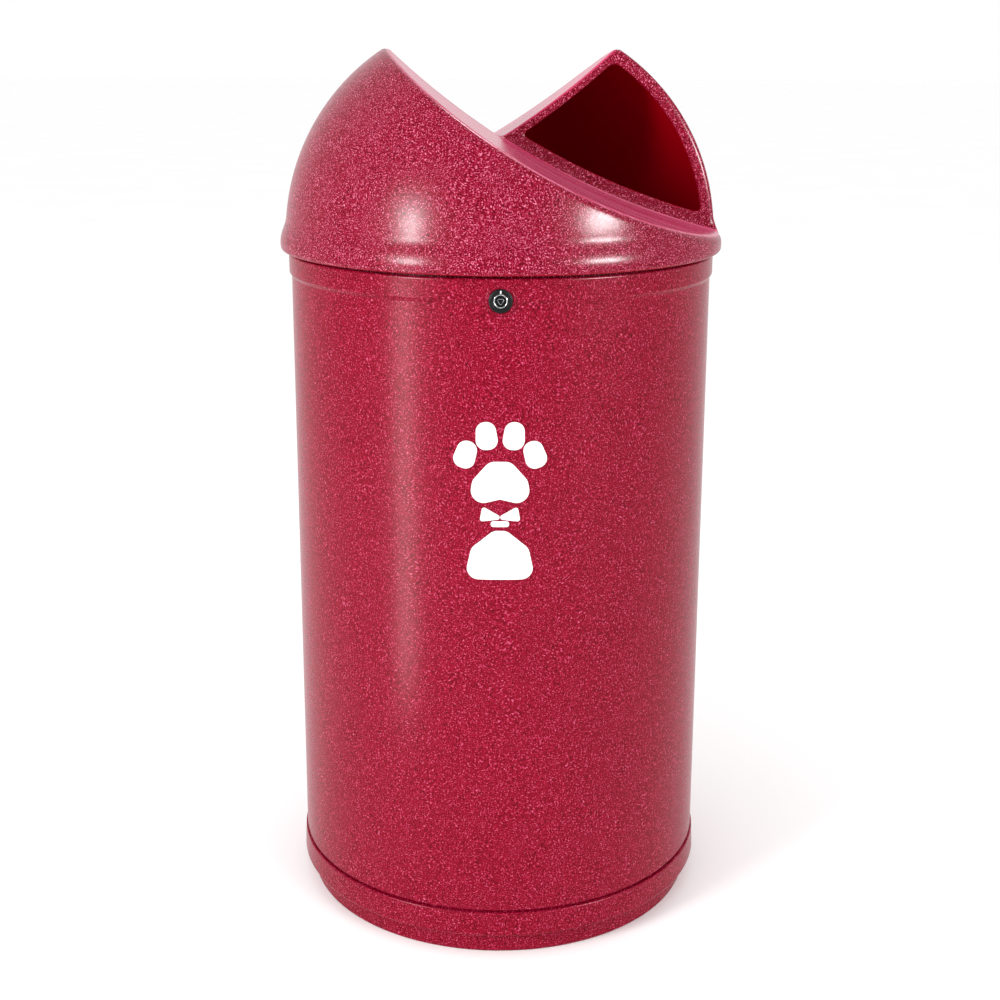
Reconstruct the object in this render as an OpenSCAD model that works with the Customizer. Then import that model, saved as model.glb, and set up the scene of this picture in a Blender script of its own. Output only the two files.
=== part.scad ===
// Domed litter bin with two opposed mouths, a hinged and locked hood, and a lift-out liner.
// Millimetres. +Z is up, the origin is on the bin's axis at the ground, and the lock faces -Y.

/* [Body] */
// Outside diameter of the body, just under its top band
body_d = 550; // [480:5:640]
// Height of the joint between body and hood above the ground
body_h = 888; // [720:1:1080]
// How much the body's radius grows from top to foot
body_draft = 4.5; // [0:0.5:8]
// Thickness of the moulded walls of body and base
wall = 6; // [4:0.5:8]
// Height of the raised band round the top of the body
band_h = 25; // [20:1:40]
// How far that band stands out from the body
band_out = 3; // [1:0.5:5]

/* [Base] */
// Height of the recessed plinth, up to the underside of the skirt
plinth_h = 31; // [25:1:60]
// How far the plinth is set in from the foot of the body
plinth_in = 9.5; // [4:0.5:20]
// Height of the skirt that the body stands in
skirt_h = 33; // [20:1:60]
// How far the skirt's top edge stands out from the body
skirt_out = 2.2; // [1.5:0.1:8]
// How far the body's foot is stepped in behind the skirt
foot_step = 3; // [1:0.5:5]
// How much further the skirt's lower edge stands out
skirt_flare = 1.5; // [0.5:0.5:14]
// Thickness of the floor
floor_t = 10; // [6:1:16]
// Height of the ribs that the liner stands on, above the floor
rib_h = 28; // [10:1:40]
// Diameter of the ground anchor holes
anchor_d = 13; // [9:0.5:17]
// Diameter of the circle that the anchor holes lie on
anchor_pcd = 380; // [260:5:400]
// Number of bolts that hold the body to the base
base_bolts_n = 6; // [3:1:8]

/* [Hood] */
// Wall thickness of the hood
hood_wall = 5; // [3.5:0.5:7]
// How far the dome stands out from the top band
dome_out = 3.3; // [1:0.1:8]
// Height of the dome's centre above the joint
dome_rise = 16; // [5:1:40]
// Distance of each peak from the bin's axis
peak_x = 147; // [110:1:190]
// Height of the crossing of the two ramps above the joint
valley_h = 143; // [110:1:165]
// Height of each ramp's foot above the joint
toe_h = 25; // [20:1:40]
// Frame left round a mouth: under it, over it, and on its outer side
frame_low = 17; // [8:1:30]
frame_high = 11; // [8:1:30]
frame_side = 17; // [8:1:30]
// Corner radius of a mouth
mouth_round = 8; // [2:1:14]
// Depth of the hood's spigot inside the body
spigot_h = 35; // [20:1:38]
// Radial gap between spigot and body
spigot_gap = 4; // [3:0.5:8]

/* [Hinge] */
// Length of the hinge
hinge_w = 100; // [70:2:130]
// Height of one leaf
leaf_h = 38; // [30:1:44]
// Thickness of a leaf
leaf_t = 2; // [1.5:0.5:3]
// Diameter of the hinge pin
pin_d = 5; // [4:0.5:6]

/* [Lock] */
// Height of the lock's centre below the joint
lock_drop = 25.6; // [22:0.1:30]
// Diameter of the lock's barrel
lock_d = 22; // [16:1:24]
// Diameter of the lock's head
lock_head_d = 28; // [26:1:32]
// Length of the locking cam from its centre
cam_l = 46; // [40:1:52]

/* [Liner] */
// Thickness of the liner's sheet
sheet = 1.2; // [0.8:0.1:2]
// Depth of the liner's rim below the joint
liner_drop = 80; // [70:1:160]
// Radial gap between the liner's rim and what it passes
liner_gap = 5.5; // [3:0.5:20]
// Diameter of the handles' wire
wire_d = 6; // [4:0.5:8]
// Width of a handle
handle_w = 90; // [70:2:120]
// Drop of a handle below its pivot
handle_drop = 50; // [40:1:70]

/* [Sign] */
// Height of the sign's middle below the joint
sign_drop = 268; // [150:1:500]
// Thickness of the sign's film
film = 0.4; // [0.2:0.1:1]

/* [Hidden] */
$fn = 96;

eps = 0.01;        // overlap that makes a cut run past its face
fit = 0.3;         // gap between pieces that slide or turn on each other
snug = 0.05;       // gap round a screw in its own hole
hole_play = 0.4;   // extra diameter of a bolt's clearance hole
arc_n = 6;         // steps in a small rounded corner

// Body and base
body_r = body_d / 2;
band_r = body_r + band_out;
foot_r = body_r + body_draft;
seat_z = plinth_h + wall;
step_z = plinth_h + skirt_h + 1;       // where the body's foot steps out over the skirt
step_h = 5;                        // height of the slope under the band
rim_round = 3;                     // radius of the body's top edge
plinth_r = foot_r - plinth_in;
foot_flange_w = 36;                // width of the body's inward foot flange
flange_in_r = foot_r - wall - foot_flange_w;
bolt_circle_r = foot_r - wall - 22;
skirt_gap = 0.5;                   // gap between body and skirt
boss_r = 12;                       // radius of the bosses under the base bolts
insert_r = 6;
insert_l = 18;
base_bolt_r = 4;
base_bolt_head_h = 5.3;
base_bolt_head_r = 7.5;
base_bolt_l = wall + 14;
base_washer_r = 8.5;
base_washer_t = 1.6;
rib_w = 12;
drain_r = 8;

// Hood
joint_gap = 0.3;                   // gap that the hood's shoulder leaves over the body's rim
hood_z = body_h + joint_gap;
dome_r = band_r + dome_out;
dome_z = body_h + dome_rise;
lip_out = 2.3;                     // how far the lip's bead stands out from the dome
lip_round = 8;                     // radius of the lip's lower edge
lip_h = 26;
shoulder_t = hood_wall;
spigot_r = band_r - wall - spigot_gap;
spigot_in_r = spigot_r - hood_wall;
spigot_z = body_h - spigot_h;

// The ramp is an arc through the peak, the crossing and the foot.
peak_z = dome_z + sqrt(dome_r * dome_r - peak_x * peak_x);
ramp_peak = [-peak_x, peak_z];
ramp_valley = [0, body_h + valley_h];
ramp_toe = [dome_r, body_h + toe_h];
ramp_c = circle_centre(ramp_peak, ramp_valley, ramp_toe);
ramp_r = norm(ramp_c - ramp_valley);

// Hinge
knuckle_r = pin_d / 2 + leaf_t;
knuckles = 5;
knuckle_l = hinge_w / knuckles;
pad_y = band_r + 3;                // outer face of the flat pads that carry the hinge
pad_side = 4;                      // pad left beyond the leaf on each side
backing_half = hinge_w / 2 - 4;     // half the width of the backing plates
pad_in_y = min(spigot_in_r + 1,    // the plates' corners stay clear of the body's wall
               sqrt(pow(body_r - wall, 2) - pow(backing_half, 2)) - joint_gap);
pin_y = pad_y + knuckle_r;
pin_z = body_h + 1;
leaf_hole_x = [-hinge_w * 0.34, 0, hinge_w * 0.34];
leaf_hole_z = leaf_h * 0.66;
leaf_bolt_r = 3;
leaf_bolt_head_r = 5.5;
leaf_bolt_head_h = 3;
leaf_bolt_over = 1;                // bolt standing past its nut
plate_t = 2;
plate_h = 18;
leaf_nut_r = 5.77;
leaf_nut_t = 5;

// Lock
lock_z = body_h - lock_drop;
lock_r = lock_d / 2;
lock_head_t = 2.8;
lock_seat_y = -(band_r + 0.5);     // flat seat of the lock's head
lock_boss_r = lock_r + 7;
lock_boss_in_y = -(spigot_r - 2);
nut_r = lock_r + 4.6;
nut_t = 5;
rotor_r = 6;
rotor_head_r = 8.7;
rotor_head_t = 2;
rotor_square = 8;
triangle_r = 5.6;                  // circumradius of the three-sided key post
triangle_h = 1.6;
cam_t = 3;
cam_w = 18;
cam_clear = 1.5;                   // gap between the cam and the striker's nuts
cam_washer_r = 8;
cam_washer_t = 1;
cam_bolt_r = 3;
cam_bolt_head_r = 5.77;
cam_bolt_head_h = 4;

// Striker, which the cam swings over
striker_t = 2.5;
striker_x = lock_boss_r + 6;
striker_w = 26;
striker_tab = 13;
striker_face_y = -(sqrt(spigot_in_r * spigot_in_r - pow(striker_x + striker_w, 2)) - 1.5);
striker_bolt_r = 2.5;
striker_nut_r = 4.6;
striker_nut_t = 4;
striker_bolt_z = body_h - 13;
striker_bolt_x = [striker_x + 7, striker_x + striker_w - 7];
striker_in_y = striker_face_y + striker_t;
cam_y = striker_in_y + striker_nut_t + 1 + cam_clear;
lock_end_y = cam_y + cam_t + cam_washer_t + cam_bolt_head_h;
notch_r = lock_boss_r + 3;         // the spigot's notch round the lock

// Liner
liner_z = floor_t + rib_h + fit;
rim_bead_r = 3.2;
liner_rim_r = min(flange_in_r, -lock_end_y) - liner_gap;
liner_r = liner_rim_r - 2 * rim_bead_r + sheet;
liner_in_r = liner_r - sheet;
liner_top = body_h - liner_drop;
liner_base_z = liner_z + 14;
swage_r = 4;
swage_share = [0.3, 0.62];         // places of the two stiffening swages along the wall
liner_drain_r = 4;
seam_w = 9;

// Handles
wire_r = wire_d / 2;
wire_bend = 9;                     // centreline radius of the wire's bends
pivot_drop = 26;                   // depth of the pivot below the rim
pivot_z = liner_top - pivot_drop;
pivot_x = liner_in_r - 12;         // distance of the pivots from the bin's axis
ear_t = 2;
ear_gap = 1;                       // gap between handle and ear
ear_y = handle_w / 2 - 1;          // inner face of an ear
bracket_t = 1.5;
bracket_h = 24;
rivet_r = 2.4;
rivet_head_r = 4.2;
rivet_head_h = 1.4;
rivet_line = rivet_head_r + 0.4;   // from an ear's face to its rivets

// Sign
sign_z = body_h - sign_drop;

red = [0.66, 0.10, 0.25];
steel = [0.72, 0.73, 0.74];
zinc = [0.62, 0.65, 0.67];
black = [0.08, 0.08, 0.08];

// ---- Functions ----

// Centre of the circle through three points.
function circle_centre(a, b, c) =
    let (d = 2 * (a.x * (b.y - c.y) + b.x * (c.y - a.y) + c.x * (a.y - b.y)),
         qa = a * a, qb = b * b, qc = c * c)
    [(qa * (b.y - c.y) + qb * (c.y - a.y) + qc * (a.y - b.y)) / d,
     (qa * (c.x - b.x) + qb * (a.x - c.x) + qc * (b.x - a.x)) / d];

// Points of an arc, from one angle to the other.
function arc(c, r, from, to, n = arc_n) =
    [for (i = [0:n]) let (t = from + (to - from) * i / n) c + r * [cos(t), sin(t)]];

// ---- Shapes used more than once ----

module rod_y(r, y0, y1, x = 0, z = 0) {
    translate([x, y0, z]) rotate([-90, 0, 0]) cylinder(r = r, h = y1 - y0);
}

module box(lo, hi) {
    translate(lo) cube(hi - lo);
}

module hex_y(r, y0, y1, x = 0, z = 0) {
    translate([x, y0, z]) rotate([-90, 0, 0]) cylinder(r = r, h = y1 - y0, $fn = 6);
}

module half_turn() {
    rotate([0, 0, 180]) children();
}

module around(n, r, start = 0) {
    for (i = [0:n - 1]) rotate([0, 0, start + 360 * i / n]) translate([r, 0, 0]) children();
}

// Bolt holes through a leaf and what lies under it.
module leaf_holes(z, y0, y1) {
    for (x = leaf_hole_x) rod_y(leaf_bolt_r + hole_play / 2, y0, y1, x, z);
}

// ---- Body and base ----

module body_profile() {
    top = body_h - band_h - step_h;
    stepped_r = foot_r - foot_step;
    polygon(concat(
        [[flange_in_r, seat_z], [stepped_r, seat_z], [stepped_r, step_z], [foot_r, step_z + foot_step],
         [body_r, top], [band_r, top + step_h]],
        arc([band_r - rim_round, body_h - rim_round], rim_round, 0, 90),
        [[band_r - wall, body_h], [band_r - wall, top + step_h], [body_r - wall, top],
         [foot_r - wall, step_z + foot_step], [stepped_r - wall, step_z], [stepped_r - wall, seat_z + wall],
         [flange_in_r, seat_z + wall]]));
}

module body_shell() {
    color(red) difference() {
        union() {
            rotate_extrude() body_profile();
            rod_y(lock_boss_r, lock_seat_y, lock_boss_in_y, 0, lock_z);
            box([-hinge_w / 2 - pad_side, pad_in_y, pin_z - leaf_h - pad_side],
                [hinge_w / 2 + pad_side, pad_y, body_h - rim_round]);
        }
        rod_y(lock_r + snug, lock_seat_y - 1, lock_boss_in_y + 1, 0, lock_z);
        leaf_holes(pin_z - leaf_hole_z, pad_in_y - 1, pad_y + 1);
        around(base_bolts_n, bolt_circle_r, 30)
            translate([0, 0, seat_z - 1]) cylinder(r = base_bolt_r + hole_play / 2, h = wall + 2);
    }
}

module base_profile() {
    skirt_r = foot_r + skirt_out;
    low_r = skirt_r + skirt_flare;
    edge = 4;
    inner_r = foot_r - foot_step + skirt_gap;
    polygon(concat(
        [[0, 0]],
        arc([plinth_r - edge, edge], edge, -90, 0),
        [[plinth_r, plinth_h]],
        arc([low_r - edge, plinth_h + edge], edge, -90, 10),
        [[skirt_r, plinth_h + skirt_h - 1.5], [skirt_r - 1, plinth_h + skirt_h],
         [inner_r, plinth_h + skirt_h], [inner_r, seat_z], [flange_in_r - 2, seat_z],
         [flange_in_r - 2, seat_z - wall], [plinth_r - wall, seat_z - wall],
         [plinth_r - wall, floor_t], [0, floor_t]]));
}

module base_moulding() {
    rib_l = 2 * (liner_r - 8);
    color(red) difference() {
        union() {
            rotate_extrude() base_profile();
            around(base_bolts_n, bolt_circle_r, 30)
                translate([0, 0, floor_t - 1]) cylinder(r = boss_r, h = seat_z - floor_t + 1);
            for (turn = [0, 90]) rotate([0, 0, turn])
                box([-rib_l / 2, -rib_w / 2, floor_t - 1], [rib_l / 2, rib_w / 2, floor_t + rib_h]);
        }
        translate([0, 0, -1]) cylinder(r = drain_r, h = floor_t + rib_h + 2);
        around(4, anchor_pcd / 2, 45)
            translate([0, 0, -1]) cylinder(r = anchor_d / 2, h = floor_t + 2);
        around(base_bolts_n, bolt_circle_r, 30)
            translate([0, 0, seat_z - insert_l]) cylinder(r = insert_r, h = insert_l + 1);
    }
}

module base_inserts() {
    color("gold") around(base_bolts_n, bolt_circle_r, 30)
        translate([0, 0, seat_z - insert_l]) difference() {
            cylinder(r = insert_r, h = insert_l);
            translate([0, 0, 2]) cylinder(r = base_bolt_r + snug, h = insert_l);
        }
}

module base_bolts() {
    color(steel) around(base_bolts_n, bolt_circle_r, 30)
        translate([0, 0, seat_z + wall + base_washer_t]) {
            cylinder(r = base_bolt_head_r, h = base_bolt_head_h, $fn = 6);
            translate([0, 0, -base_bolt_l]) cylinder(r = base_bolt_r, h = base_bolt_l + 1);
        }
}

module base_washers() {
    color(steel) around(base_bolts_n, bolt_circle_r, 30)
        translate([0, 0, seat_z + wall]) difference() {
            cylinder(r = base_washer_r, h = base_washer_t);
            translate([0, 0, -1]) cylinder(r = base_bolt_r + hole_play / 2, h = base_washer_t + 2);
        }
}

// ---- Hood ----

// What one ramp takes away, grown by a margin on every side.
module ramp_cut(grow = 0) {
    translate([ramp_c.x, grow, ramp_c.y]) rotate([90, 0, 0])
        cylinder(r = ramp_r + grow, h = 2 * dome_r);
}

module both_ramp_cuts(grow = 0) {
    ramp_cut(grow);
    half_turn() ramp_cut(grow);
}

module dome_above(r, z) {
    intersection() {
        translate([0, 0, dome_z]) sphere(r = r);
        translate([0, 0, z]) cylinder(r = r + 1, h = 2 * r);
    }
}

module lip_profile() {
    lip_r = dome_r + lip_out;
    polygon(concat(
        [[0, hood_z]],
        arc([lip_r - lip_round, hood_z + lip_round], lip_round, -90, 12),
        [[dome_r - 0.8, body_h + lip_h], [0, body_h + lip_h]]));
}

module mouth_outline() {
    offset(r = mouth_round) offset(delta = -mouth_round) intersection() {
        translate(ramp_c) circle(r = ramp_r - frame_low, $fn = 360);
        difference() {
            translate([0, dome_z]) circle(r = dome_r - frame_side, $fn = 180);
            translate([-ramp_c.x, ramp_c.y]) circle(r = ramp_r + frame_high, $fn = 360);
        }
    }
}

module mouth_cut() {
    translate([0, hood_wall + 1, 0]) rotate([90, 0, 0])
        linear_extrude(height = hood_wall + 2) mouth_outline();
}

module spigot_profile() {
    shoulder_z = hood_z + shoulder_t;
    polygon([[spigot_in_r, spigot_z], [spigot_r - 1, spigot_z], [spigot_r, spigot_z + 3],
             [spigot_r, hood_z], [dome_r - hood_wall + 1, hood_z],
             [dome_r - hood_wall + 1, shoulder_z], [spigot_in_r, shoulder_z]]);
}

module hood_skin() {
    difference() {
        union() {
            dome_above(dome_r, hood_z + lip_round);
            rotate_extrude() lip_profile();
        }
        both_ramp_cuts();
        difference() {
            dome_above(dome_r - hood_wall, hood_z + shoulder_t);
            both_ramp_cuts(hood_wall);
        }
        translate([0, 0, body_h - 1]) cylinder(r = spigot_in_r, h = shoulder_t + 2);
        mouth_cut();
        half_turn() mouth_cut();
    }
}

module hood_shell() {
    pad_x = hinge_w / 2 + pad_side;
    pad_top = pin_z + leaf_h + pad_side;
    gap_x = pad_x + 6;                 // the spigot stops short of the body's hinge bolts
    gap_y = sqrt(spigot_in_r * spigot_in_r - gap_x * gap_x) - 1;
    color(red) difference() {
        union() {
            hood_skin();
            rotate_extrude() spigot_profile();
            box([-pad_x, pad_in_y, hood_z], [pad_x, pad_y, pad_top]);
            intersection() {
                box([striker_x - 2, -spigot_r + 1, spigot_z],
                    [striker_x + striker_w + 2, striker_face_y, hood_z + 1]);
                translate([0, 0, spigot_z]) cylinder(r = spigot_r - 1, h = spigot_h + 2);
            }
        }
        box([-notch_r, -spigot_r - 1, spigot_z - 1], [notch_r, -spigot_in_r + 8, lock_z + notch_r]);
        box([-gap_x, gap_y, spigot_z - 1], [gap_x, spigot_r + 1, body_h + joint_gap]);
        box([-pad_x, pad_y, body_h - 1], [pad_x, pad_y + 20, pad_top]);
        leaf_holes(pin_z + leaf_hole_z, pad_in_y - 1, pad_y + 1);
        for (x = striker_bolt_x) {
            rod_y(striker_bolt_r + snug, -band_r, striker_face_y + 1, x, striker_bolt_z);
            rod_y(striker_bolt_r * 2, -band_r, striker_head_y(x) + 2.2, x, striker_bolt_z);
        }
    }
}

// ---- Hinge ----

// One leaf, going up (side 1) or down (side -1), with its own knuckles.
module leaf(side, own) {
    far_z = pin_z + side * leaf_h;
    near_z = pin_z + side * (knuckle_r + fit);
    difference() {
        union() {
            box([-hinge_w / 2, pad_y, min(near_z, far_z)],
                [hinge_w / 2, pad_y + leaf_t, max(near_z, far_z)]);
            for (i = own) let (x0 = -hinge_w / 2 + i * knuckle_l + fit / 2, x1 = x0 + knuckle_l - fit) {
                box([x0, pad_y, min(pin_z, near_z)], [x1, pad_y + leaf_t, max(pin_z, near_z)]);
                translate([x0, pin_y, pin_z]) rotate([0, 90, 0]) cylinder(r = knuckle_r, h = x1 - x0);
            }
        }
        translate([-hinge_w, pin_y, pin_z]) rotate([0, 90, 0])
            cylinder(r = pin_d / 2 + snug, h = 2 * hinge_w);
        leaf_holes(pin_z + side * leaf_hole_z, pad_y - 1, pad_y + leaf_t + 1);
    }
}

module hinge_body_leaf() {
    color(steel) leaf(-1, [0, 2, 4]);
}

module hinge_hood_leaf() {
    color(steel) leaf(1, [1, 3]);
}

module hinge_pin() {
    color(steel) translate([-hinge_w / 2 - 2, pin_y, pin_z]) rotate([0, 90, 0]) {
        cylinder(r = pin_d / 2, h = hinge_w + 4);
        cylinder(r = pin_d / 2 + 1, h = 1.8);
    }
}

module leaf_bolts(z) {
    tail_y = pad_in_y - plate_t - leaf_nut_t - leaf_bolt_over;
    head_y = pad_y + leaf_t;
    dome_rad = (leaf_bolt_head_r * leaf_bolt_head_r + leaf_bolt_head_h * leaf_bolt_head_h)
        / (2 * leaf_bolt_head_h);
    for (x = leaf_hole_x) {
        rod_y(leaf_bolt_r, tail_y, head_y + 1, x, z);
        difference() {
            intersection() {
                translate([x, head_y + leaf_bolt_head_h - dome_rad, z]) sphere(r = dome_rad);
                rod_y(leaf_bolt_head_r + 1, head_y, head_y + leaf_bolt_head_h + 1, x, z);
            }
            hex_y(2.3, head_y + 1.4, head_y + 6, x, z);
        }
    }
}

module backing_plate(z) {
    difference() {
        box([-backing_half, pad_in_y - plate_t, z - plate_h / 2],
            [backing_half, pad_in_y, z + plate_h / 2]);
        leaf_holes(z, pad_in_y - plate_t - 1, pad_in_y + 1);
    }
}

module leaf_nuts(z) {
    y1 = pad_in_y - plate_t;
    for (x = leaf_hole_x) difference() {
        hex_y(leaf_nut_r, y1 - leaf_nut_t, y1, x, z);
        rod_y(leaf_bolt_r + snug, y1 - leaf_nut_t - 1, y1 + 1, x, z);
    }
}

module hinge_body_bolts() {
    color(steel) leaf_bolts(pin_z - leaf_hole_z);
}

module hinge_body_backing_plate() {
    color(zinc) backing_plate(pin_z - leaf_hole_z);
}

module hinge_body_nuts() {
    color(steel) leaf_nuts(pin_z - leaf_hole_z);
}

module hinge_hood_bolts() {
    color(steel) leaf_bolts(pin_z + leaf_hole_z);
}

module hinge_hood_backing_plate() {
    color(zinc) backing_plate(pin_z + leaf_hole_z);
}

module hinge_hood_nuts() {
    color(steel) leaf_nuts(pin_z + leaf_hole_z);
}

// ---- Lock ----

module lock_housing() {
    face_y = lock_seat_y - lock_head_t;
    barrel_y = cam_y - 3;
    color(black) difference() {
        union() {
            rod_y(lock_r, lock_seat_y - 1, barrel_y, 0, lock_z);
            translate([0, lock_seat_y, lock_z]) rotate([90, 0, 0]) {
                cylinder(r = lock_head_d / 2, h = lock_head_t - 1);
                translate([0, 0, lock_head_t - 1 - eps])
                    cylinder(r1 = lock_head_d / 2, r2 = lock_head_d / 2 - 1, h = 1);
            }
        }
        rod_y(rotor_head_r + fit, face_y - 1, face_y + rotor_head_t + triangle_h + fit, 0, lock_z);
        rod_y(rotor_r + snug, face_y, barrel_y + 1, 0, lock_z);
    }
}

module lock_nut() {
    color(zinc) difference() {
        hex_y(nut_r, lock_boss_in_y, lock_boss_in_y + nut_t, 0, lock_z);
        rod_y(lock_r + snug, lock_boss_in_y - 1, lock_boss_in_y + nut_t + 1, 0, lock_z);
    }
}

// The rotor's head lies in the housing's recess and carries the three-sided post.
module lock_rotor() {
    face_y = lock_seat_y - lock_head_t;
    head_y = face_y + triangle_h;
    half = rotor_square / 2;
    color(black) {
        rod_y(rotor_head_r, head_y, head_y + rotor_head_t, 0, lock_z);
        rod_y(rotor_r, head_y, cam_y, 0, lock_z);
        box([-half, cam_y - 1, lock_z - half], [half, cam_y + cam_t - 0.2, lock_z + half]);
        translate([0, head_y + eps, lock_z]) rotate([90, 90, 0])
            cylinder(r = triangle_r, h = triangle_h, $fn = 3);
    }
}

// The cam points up, clear of the striker; a quarter turn lays it over the striker's tab.
module lock_cam() {
    half = rotor_square / 2 + snug;
    color(zinc) difference() {
        union() {
            rod_y(cam_w / 2, cam_y, cam_y + cam_t, 0, lock_z);
            box([-cam_w / 2, cam_y, lock_z], [cam_w / 2, cam_y + cam_t, lock_z + cam_l - 4]);
            box([-cam_w / 2 + 4, cam_y, lock_z], [cam_w / 2 - 4, cam_y + cam_t, lock_z + cam_l]);
            for (s = [-1, 1]) rod_y(4, cam_y, cam_y + cam_t, s * (cam_w / 2 - 4), lock_z + cam_l - 4);
        }
        box([-half, cam_y - 1, lock_z - half], [half, cam_y + cam_t + 1, lock_z + half]);
    }
}

module lock_cam_washer() {
    y = cam_y + cam_t;
    color(steel) difference() {
        rod_y(cam_washer_r, y, y + cam_washer_t, 0, lock_z);
        rod_y(cam_bolt_r + snug, y - 1, y + cam_washer_t + 1, 0, lock_z);
    }
}

module lock_cam_bolt() {
    y = cam_y + cam_t + cam_washer_t;
    color(steel) {
        hex_y(cam_bolt_head_r, y, y + cam_bolt_head_h, 0, lock_z);
        rod_y(cam_bolt_r, y - cam_washer_t - 0.1, y + 1, 0, lock_z);
    }
}

// ---- Striker ----

// Where the spigot's outside lies at a sideways distance.
function striker_head_y(x) = -sqrt(spigot_r * spigot_r - pow(x + striker_bolt_r * 2, 2));

module striker_bracket() {
    tab_z = lock_z - cam_w / 2 - 1;
    color(zinc) difference() {
        union() {
            box([striker_x, striker_face_y, tab_z - striker_t],
                [striker_x + striker_w, striker_in_y, body_h - 3]);
            box([striker_x, striker_face_y, tab_z - striker_t],
                [striker_x + striker_w, striker_face_y + striker_tab, tab_z]);
        }
        for (x = striker_bolt_x)
            rod_y(striker_bolt_r + snug, striker_face_y - 1, striker_in_y + 1, x, striker_bolt_z);
    }
}

module striker_screws() {
    color(steel) for (x = striker_bolt_x) {
        head_y = striker_head_y(x);
        rod_y(striker_bolt_r, head_y + 1, striker_in_y + striker_nut_t + 1, x, striker_bolt_z);
        rod_y(striker_bolt_r * 2 - snug, head_y, head_y + 2.2, x, striker_bolt_z);
    }
}

module striker_nuts() {
    nut_end_y = striker_in_y + striker_nut_t;
    color(steel) for (x = striker_bolt_x) difference() {
        hex_y(striker_nut_r, striker_in_y, nut_end_y, x, striker_bolt_z);
        rod_y(striker_bolt_r + snug, striker_in_y - 1, nut_end_y + 1, x, striker_bolt_z);
    }
}

// ---- Liner ----

// A disc in the wall's section, for the swages and the rolled rim.
module wall_disc(x, z, r) {
    translate([x, z]) circle(r = r, $fn = 32);
}

module liner_section() {
    span = liner_top - liner_z;
    difference() {
        union() {
            translate([liner_in_r, liner_z]) square([sheet, span - rim_bead_r]);
            wall_disc(liner_in_r + rim_bead_r, liner_top - rim_bead_r, rim_bead_r);
            for (s = swage_share) wall_disc(liner_in_r - 1, liner_z + span * s, swage_r);
        }
        for (s = swage_share) wall_disc(liner_in_r - 1, liner_z + span * s, swage_r - sheet);
        translate([0, liner_z - 1]) square([liner_in_r, span - 2 * rim_bead_r]);
    }
}

module liner_wall() {
    seam_top = liner_top - 2 * rim_bead_r - 2;
    color(zinc) difference() {
        union() {
            rotate_extrude() liner_section();
            rotate([0, 0, 90])
                box([-liner_r - sheet, -seam_w / 2, liner_z], [-liner_r + 0.4, seam_w / 2, seam_top]);
        }
        both_handles() for (end = [-1, 1]) at_rivets(end) cylinder(r = rivet_r, h = 12, center = true);
    }
}

module liner_base() {
    flange = 10;
    color(zinc) difference() {
        rotate_extrude() polygon([
            [0, liner_base_z], [liner_in_r - snug - sheet, liner_base_z],
            [liner_in_r - snug - sheet, liner_base_z - flange], [liner_in_r - snug, liner_base_z - flange],
            [liner_in_r - snug, liner_base_z + sheet], [0, liner_base_z + sheet]]);
        around(4, liner_in_r * 0.55, 45)
            translate([0, 0, liner_base_z - 1]) cylinder(r = liner_drain_r, h = sheet + 2);
    }
}

// Two pressed plates that follow the liner's wall, each with a drilled ear.
module handle_bracket() {
    out_r = liner_in_r - snug;
    half_angle = asin((ear_y + ear_t + 2 * rivet_line) / out_r);
    for (end = [-1, 1]) difference() {
        union() {
            rotate([0, 0, end > 0 ? half_angle * 0.42 : -half_angle])
                rotate_extrude(angle = half_angle * 0.58)
                    translate([out_r - bracket_t, pivot_z - bracket_h / 2])
                        square([bracket_t, bracket_h]);
            intersection() {
                translate([pivot_x - 6, end > 0 ? ear_y : -ear_y - ear_t, pivot_z - 7])
                    cube([out_r - pivot_x + 6, ear_t, 14]);
                cylinder(r = out_r - bracket_t / 2, h = 2 * body_h);
            }
        }
        rod_y(wire_r + fit, -handle_w, handle_w, pivot_x, pivot_z);
        at_rivets(end) cylinder(r = rivet_r, h = 12, center = true);
    }
}

module both_handles() {
    children();
    half_turn() children();
}

// Rivet places on the bracket's plates, with +Z pointing out through the liner's wall.
module at_rivets(end) {
    angle = end * asin((ear_y + ear_t + rivet_line) / liner_in_r);
    for (dz = [-7.5, 7.5]) rotate([0, 0, angle])
        translate([liner_in_r, 0, pivot_z + dz]) rotate([0, 90, 0]) children();
}

module handle_bracket_right() {
    color(steel) handle_bracket();
}

module handle_bracket_left() {
    color(steel) half_turn() handle_bracket();
}

// A closed-end rivet, with its head on the bracket and its body in the liner's wall.
module rivet() {
    head_z = -snug - bracket_t - rivet_head_h;
    translate([0, 0, head_z]) {
        cylinder(r = rivet_head_r, h = rivet_head_h - 0.15);
        cylinder(r = rivet_r - snug, h = rivet_head_h + bracket_t + sheet);
    }
}

module liner_rivets() {
    color(steel) both_handles() for (end = [-1, 1]) at_rivets(end) rivet();
}

// A wire bend of a quarter turn in the YZ plane, from one angle on.
module wire_corner(y, z, from) {
    translate([pivot_x, y, z]) rotate([90, 0, 90]) rotate([0, 0, from])
        rotate_extrude(angle = 90) translate([wire_bend, 0]) circle(r = wire_r, $fn = 32);
}

// A wire bail: two stub ends in the ears, two sides, and a grip below.
module handle() {
    side_y = ear_y - ear_gap - wire_r;
    low_z = pivot_z - handle_drop;
    end_y = ear_y + ear_t + 3;
    for (side = [-1, 1]) mirror([0, side > 0 ? 0 : 1, 0]) {
        rod_y(wire_r, side_y + 0.5, end_y, pivot_x, pivot_z);
        translate([pivot_x, side_y, pivot_z]) sphere(r = wire_r);
        translate([pivot_x, side_y, low_z + wire_bend])
            cylinder(r = wire_r, h = handle_drop - wire_bend);
        wire_corner(side_y - wire_bend, low_z + wire_bend, 270);
    }
    rod_y(wire_r, -side_y + wire_bend, side_y - wire_bend, pivot_x, low_z);
}

module handle_right() {
    color(steel) handle();
}

module handle_left() {
    color(steel) half_turn() handle();
}

// ---- Sign ----

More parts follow.
